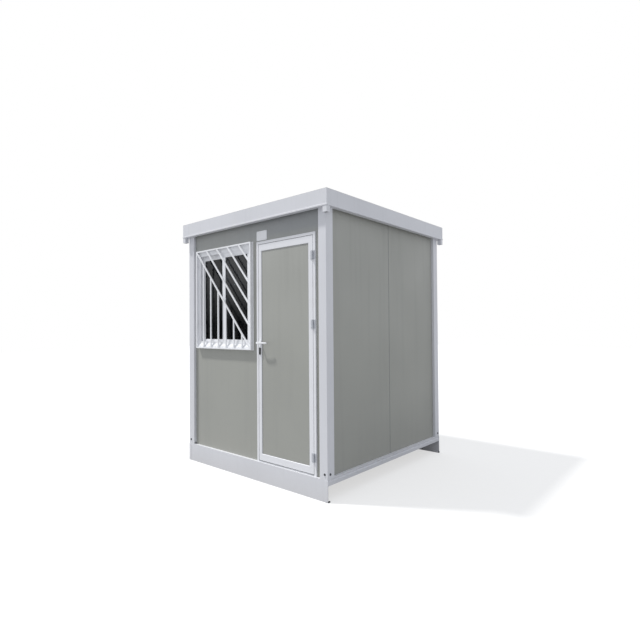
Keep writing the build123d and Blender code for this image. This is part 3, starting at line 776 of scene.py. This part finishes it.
cylinder_rise = 0.012
cylinder_profile = [(0.0085, -0.0005), (0.0085, 0.0016), (0.0078, 0.0022)]
cylinder_spot = (lock_x, cover_front, lock_z + cylinder_rise)
cylinder_face = turned(cylinder_profile, cylinder_spot, (0, -1, 0), sides=24)
fit(ring_mesh("lock_cylinder_face", cylinder_face), "black_steel", "door")

keyhole_layers = [(0.0, cover_front - 0.002), (0.0, cover_front - 0.0026)]
keyhole_half, keyhole_foot, keyhole_head, keyhole_corner = 0.001, 0.0075, 0.0165, 0.0009
# A dark plate that paints the shade inside the keyhole's slot.
keyhole = plate_rings(
    lock_x - keyhole_half,
    lock_x + keyhole_half,
    lock_z + keyhole_foot,
    lock_z + keyhole_head,
    keyhole_corner,
    keyhole_layers,
)
fit(ring_mesh("keyhole", keyhole), "black_rubber", "door")


# %% [markdown]
# Screws of the roses and the hinges
#
# Each rose of the lever is held by two small screws, above and below the spindle, which are
# lacquered white with it. Each hinge plate, on the frame and on the leaf, has three. The screws on
# the leaf ride on the door, the others stay on the booth.

# %% Fitting screws
rose_low, rose_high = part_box("handle_roses")
rose_z = (rose_low.z + rose_high.z) / 2
rose_screw_spread = 0.023
rose_heights = [rose_z - rose_screw_spread, rose_z + rose_screw_spread]
rose_screws = np.concatenate([
    turned(dome(0.0028, 0.0011), grid([lock_x], [rose_low.y], rose_heights), (0, -1, 0)),
    turned(dome(0.0028, 0.0011), grid([lock_x], [rose_high.y], rose_heights), (0, 1, 0)),
])
fit(ring_mesh("rose_screws", rose_screws), "window_white", "door")

hinge_axis_x = 0.8355
hinge_plate_thickness = 0.003
hinge_plate_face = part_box("door_leaf_frame")[0].y - hinge_plate_thickness
hinge_heights = np.array([0.342, 1.480, 2.074])
hinge_screw_offset = 0.0170
hinge_screw_spread = np.array([-0.026, 0.0, 0.026])
screw_heights = (hinge_heights[:, None] + hinge_screw_spread).ravel()
for body, side in (("booth", 1), ("door", -1)):
    spots = grid([hinge_axis_x + side * hinge_screw_offset], [hinge_plate_face], screw_heights)
    screws = turned(dome(0.0034, 0.0012), spots, (0, -1, 0))
    fit(ring_mesh(f"hinge_screws_{body}", screws), "zinc_plate", body)


# %% [markdown]
# Gaskets round the glass and the door panel
#
# Each pane is held in its sash by a rubber gasket on both faces, and so is the panel in the door
# leaf. A gasket is one small section carried round the opening: the section's first number goes
# along the outward normal of the outline, its second along Y. The last ring joins the first.

# %% Gaskets
def carried(left, right, bottom, top, radius, section, depth):
    """Rings of a bar round an opening: outline + u * normal in the plane, depth + v along Y."""
    outline, normal = rounded_outline(left, right, bottom, top, radius)
    u, v = np.asarray(section, float).T
    flat = outline[:, None] + u[:, None] * normal[:, None]
    along_y = np.broadcast_to(depth + v, flat.shape[:2])
    return np.stack([flat[..., 0], along_y, flat[..., 1]], axis=-1)[None]


gasket_width, gasket_height, gasket_corner = 0.0032, 0.0018, 0.0005
groove_bite = 0.0077


def gasket_section(side):
    """Flat lip with a rounded crest, standing out along Y towards this side."""
    crest = side * gasket_height
    rise, fall = (-0.3 * gasket_width, 0.9 * crest), (-0.7 * gasket_width, crest)
    return [(0.0, 0.0), rise, fall, (-gasket_width, 0.0)]


def gasket_pair(sheet):
    """Gaskets on the front and the back of a sheet, just inside the groove that holds its edges."""
    low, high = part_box(sheet)
    lip = (low.x + groove_bite, high.x - groove_bite, low.z + groove_bite, high.z - groove_bite)
    faces = ((-1, low.y), (1, high.y))
    return np.concatenate([carried(*lip, gasket_corner, gasket_section(side), y) for side, y in faces])


pane_gaskets = np.concatenate([gasket_pair("left_glass_pane"), gasket_pair("right_glass_pane")])
fit(ring_mesh("glazing_gaskets", pane_gaskets, looped=True), "black_rubber", "booth")
leaf_gaskets = gasket_pair("door_infill_panel")
fit(ring_mesh("door_panel_gaskets", leaf_gaskets, looped=True), "grey_rubber", "door")


# %% [markdown]
# The seal of the door
#
# A soft tube on the stop of the frame closes the gap behind the leaf, up one jamb, along the head
# and down the other. It is one half-round section along a path of four points. At the two upper
# corners the section leans outward at 45 degrees, so that the tube is mitred there as a welded seal
# is.

# %% Door seal
leaf_low, leaf_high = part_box("door_leaf_frame")
stop_gap, seal_inset, seal_foot = 0.005, 0.0005, 0.012
stop_face = leaf_high.y + stop_gap
seal_left, seal_right = leaf_low.x + seal_inset, leaf_high.x - seal_inset
seal_bottom, seal_top = leaf_low.z + seal_foot, leaf_high.z - seal_inset
seal_path = np.array([
    [seal_left, seal_bottom],
    [seal_left, seal_top],
    [seal_right, seal_top],
    [seal_right, seal_bottom],
])
seal_lean = np.array([[-1.0, 0.0], [-1.0, 1.0], [1.0, 1.0], [1.0, 0.0]])
seal_angle = np.linspace(0.0, np.pi, 7)
seal_radius, seal_height = 0.0026, 0.0042
seal_flat = seal_path[:, None] + seal_radius * np.cos(seal_angle)[:, None] * seal_lean[:, None]
seal_y = np.broadcast_to(stop_face - seal_height * np.sin(seal_angle), seal_flat.shape[:2])
seal_rings = np.stack([seal_flat[..., 0], seal_y, seal_flat[..., 1]], axis=-1)[None]
fit(ring_mesh("door_seal", seal_rings), "black_rubber", "booth")


# %% [markdown]
# Bars with the same section from end to end
#
# The ribs of the threshold, the plugs of the base and the flashing of the roof are straight bars.
# The function carries a section from each start to each end, with its two numbers measured along
# two given directions.

# %% Straight bars
def bars(starts, ends, section, first, second):
    """Rings of straight bars: start or end + u * first + v * second for a section's points (u, v)."""
    stations = np.stack([np.atleast_2d(starts), np.atleast_2d(ends)], axis=1)
    u, v = np.asarray(section, float).T
    spread = u[:, None] * np.asarray(first, float) + v[:, None] * np.asarray(second, float)
    return stations[:, :, None] + spread


def low_arch(width, height):
    """Section of a low rounded bead, half a wave of the sine, with its foot just under the surface."""
    across = np.linspace(-0.5, 0.5, 7)
    crest = np.column_stack([across * width, height * np.cos(np.pi * across)])
    return np.vstack([[(-0.5 * width, -0.0003)], crest[1:-1], [(0.5 * width, -0.0003)]])


print("points of a rib's section:", len(low_arch(0.003, 0.0011)))


# %% [markdown]
# Ribs on the threshold
#
# The tread of the threshold has five fine ribs against slipping, which the drawing die leaves along
# it. They end just short of the two jambs.

# %% Threshold ribs
tread_low, tread_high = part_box("door_threshold")
tread_thickness, rib_margin = 0.010, 0.006
tread_top = tread_low.z + tread_thickness
first_rib, last_rib, ribs = 0.008, 0.036, 5
rib_places = tread_low.y + np.linspace(first_rib, last_rib, ribs)
rib_starts = grid([tread_low.x + rib_margin], rib_places, [tread_top])
rib_ends = grid([tread_high.x - rib_margin], rib_places, [tread_top])
tread_ribs = bars(rib_starts, rib_ends, low_arch(0.003, 0.0011), (0, 1, 0), (0, 0, 1))
fit(ring_mesh("threshold_ribs", tread_ribs), "drawn_aluminium", "booth")


# %% [markdown]
# Ends of the base beams
#
# A narrow plate is welded over each end of the front and the rear beam, so the open channel does
# not show. It stands 1.5 mm proud of the web, and its edge throws a fine line. A black plug closes
# the toe of the channel at ground level.

# %% Beam ends
end_width, end_thickness, end_sunk = 0.032, 0.0015, 0.0003
end_low, end_high, end_bevel = 0.006, 0.180, 0.001
end_outline = np.array([
    [0.0, end_low],
    [end_width - end_bevel, end_low],
    [end_width, end_low + end_bevel],
    [end_width, end_high - end_bevel],
    [end_width - end_bevel, end_high],
    [0.0, end_high],
])
beam_ends = []
for side_x in (-1, 1):
    for side_y in (-1, 1):
        x = side_x * (high_corner.x - end_outline[:, 0])
        faces_y = side_y * (high_corner.y + np.array([-end_sunk, end_thickness]))
        flat_x, flat_y = np.meshgrid(x, faces_y)
        flat_z = np.broadcast_to(end_outline[:, 1], flat_x.shape)
        beam_ends.append(np.stack([flat_x, flat_y, flat_z], axis=-1)[None])
fit(ring_mesh("beam_end_plates", np.concatenate(beam_ends)), "powder_coat", "booth")

plug_section = [
    (-0.011, -0.001),
    (0.009, -0.001),
    (0.010, 0.000),
    (0.010, 0.010),
    (0.009, 0.011),
    (-0.011, 0.011),
]
plug_inset, plug_rise, plug_sunk, plug_proud = 0.013, 0.0025, 0.002, 0.006
plug_x = [-high_corner.x - plug_proud, high_corner.x - plug_sunk]
plug_y = [low_corner.y + plug_inset, high_corner.y - plug_inset]
plug_starts = grid(plug_x, plug_y, [plug_rise])
plug_ends = plug_starts + np.array([plug_proud + plug_sunk, 0.0, 0.0])
toe_plugs = bars(plug_starts, plug_ends, plug_section, (0, 1, 0), (0, 0, 1))
fit(ring_mesh("beam_toe_plugs", toe_plugs), "black_rubber", "booth")


# %% [markdown]
# Weld beads on the grille
#
# The bars of the grille are welded to its border and to each other, and the welds are painted over.
# Each is a low dome on the front face, at the places where the centre lines of the bars meet.

# %% Grille welds
grille_low, grille_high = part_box("window_grille")
border_half = 0.007
diagonals, uprights = 5, 7
left_line, right_line = grille_low.x + border_half, grille_high.x - border_half
bottom_line, top_line = grille_low.z + border_half, grille_high.z - border_half
line_width, line_height = right_line - left_line, top_line - bottom_line
share = np.arange(diagonals) / diagonals
head_spots = np.stack(np.broadcast_arrays(left_line + share * line_width, top_line), axis=-1)
side_spots = np.stack(np.broadcast_arrays(right_line, bottom_line + share * line_height), axis=-1)
share = np.arange(1, uprights) / uprights
upright_line = left_line + share * line_width
foot_spots = np.stack(np.broadcast_arrays(upright_line, bottom_line), axis=-1)
slope_spots = np.stack([upright_line, top_line - share * line_height], axis=-1)
weld_xz = np.concatenate([head_spots, side_spots, foot_spots, slope_spots])
weld_spots = np.insert(weld_xz, 1, grille_low.y, axis=1)
weld_beads = turned(dome(0.0062, 0.0009), weld_spots, (0, -1, 0))
fit(ring_mesh("grille_welds", weld_beads), "window_white", "booth")


# %% [markdown]
# Sealant round the window
#
# The casing is bedded in a bead of white sealant, a fine quarter round between its cheeks and the
# wall panel.

# %% Window sealant
casing_low, casing_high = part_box("window_casing")
bead = 0.004
bead_section = [(0.0, 0.0), (bead, 0.0), (0.45 * bead, -0.45 * bead), (0.0, -bead)]
bead_corner = 0.0004
casing_box = (casing_low.x, casing_high.x, casing_low.z, casing_high.z)
sealant = carried(*casing_box, bead_corner, bead_section, wall_face)
fit(ring_mesh("window_sealant", sealant, looped=True), "window_white", "booth")


# %% [markdown]
# Fixings of the roof
#
# The roof panels are screwed down through their ribs, five screws to a rib, each with a dished
# washer that presses a seal. A flashing, coated as the panels are, covers the joint between the
# two.

# %% Roof screws and flashing
roof_low, roof_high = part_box("left_roof_panel")
rib_pitch, ribs_a_panel = 0.245, 4
panel_middle = roof_low.x / 2
rib_offsets = (np.arange(ribs_a_panel) - (ribs_a_panel - 1) / 2) * rib_pitch
roof_rib_x = np.concatenate([panel_middle + rib_offsets, -panel_middle + rib_offsets])
screws_a_rib, screw_reach = 5, 0.9
screw_y = np.linspace(-screw_reach, screw_reach, screws_a_rib)
roof_screw_profile = [
    (0.0095, -0.0005),
    (0.0095, 0.0008),
    (0.0080, 0.0018),
    (0.0050, 0.0022),
    (0.0050, 0.0060),
    (0.0042, 0.0066),
]
roof_spots = grid(roof_rib_x, screw_y, [roof_high.z])
roof_screws = turned(roof_screw_profile, roof_spots, (0, 0, 1), hexagonal=head_rings)
fit(ring_mesh("roof_screws", roof_screws), "zinc_plate", "booth")

deck_thickness = 0.040
roof_deck = roof_low.z + deck_thickness
flashing_section = [
    (-0.045, -0.0003),
    (-0.045, 0.0015),
    (-0.012, 0.006),
    (0.012, 0.006),
    (0.045, 0.0015),
    (0.045, -0.0003),
]
flashing_start, flashing_end = (0, roof_low.y, roof_deck), (0, roof_high.y, roof_deck)
flashing = bars(flashing_start, flashing_end, flashing_section, (1, 0, 0), (0, 0, 1))
fit(ring_mesh("roof_flashing", flashing), "panel_skin", "booth")


# %% [markdown]
# Floor and light
#
# The booth stands on a plain pale floor under soft light. A sun with a wide disc stands high to the
# front left, and an even sky fills the shade. The floor throws little light back. Rays that show a
# picture see it brighter, so that it goes white as paper where it is lit and still keeps the
# booth's shadow, and they see a white sky behind it.

# %% Stage
floor_half = 30.0
floor_corners = floor_half * np.array([[-1, -1, 0], [1, -1, 0], [1, 1, 0], [-1, 1, 0]])
floor_mesh = bpy.data.meshes.new("studio_floor")
floor_mesh.from_pydata(floor_corners.tolist(), [], [(0, 1, 2, 3)])
studio_floor = bpy.data.objects.new("studio_floor", floor_mesh)
bpy.context.scene.collection.objects.link(studio_floor)


def viewed(path):
    """1 for rays that show a picture: from the camera, off a glossy surface or through glass."""
    seen_or_glossy = path.sum("MAXIMUM", path, path.out("Is Glossy Ray"))
    return path.sum("MAXIMUM", seen_or_glossy, path.out("Is Transmission Ray"))


floor_material = bpy.data.materials.new("studio_floor")
floor_material.use_nodes = True
floor_material.node_tree.nodes.clear()
flow = Flow(floor_material.node_tree)
path = flow.node("ShaderNodeLightPath")
floor_grey, floor_glow = (0.36, 0.36, 0.36), 0.62
matte = flow.node("ShaderNodeBsdfDiffuse", values={"Color": floor_grey})
glow = flow.node("ShaderNodeEmission", values={"Color": (1.0, 1.0, 1.0), "Strength": floor_glow})
bright = flow.node("ShaderNodeAddShader", values={0: matte, 1: glow})
both = flow.node("ShaderNodeMixShader", values={0: viewed(path), 1: matte, 2: bright})
flow.node("ShaderNodeOutputMaterial", values={"Surface": both})
floor_mesh.materials.append(floor_material)

sky_strength = 0.74
sky_blue, white = (0.955, 0.99, 1.055), (1.0, 1.0, 1.0)
world = bpy.data.worlds.new("studio_sky")
world.use_nodes = True
world.node_tree.nodes.clear()
flow = Flow(world.node_tree)
path = flow.node("ShaderNodeLightPath")
seen_ray = viewed(path)
strength = sky_strength + (1.0 - sky_strength) * seen_ray
sky_colour = seen_ray.mix(sky_blue, white)
sky = flow.node("ShaderNodeBackground", values={"Color": sky_colour, "Strength": strength})
flow.node("ShaderNodeOutputWorld", values={"Surface": sky})
bpy.context.scene.world = world

sun_place = Vector((-0.068, -0.0405, 0.133))
sun_data = bpy.data.lights.new("key_light", "SUN")
sun_data.energy = 2.9
sun_data.angle = radians(4.0)
sun_data.color = (1.0, 0.985, 0.96)
key_light = bpy.data.objects.new("key_light", sun_data)
key_light.rotation_mode = "QUATERNION"
key_light.rotation_quaternion = sun_place.to_track_quat("Z", "Y")
bpy.context.scene.collection.objects.link(key_light)

bpy.context.scene.view_settings.view_transform = "Standard"
print("sky strength:", sky_strength, "and key light:", sun_data.energy)
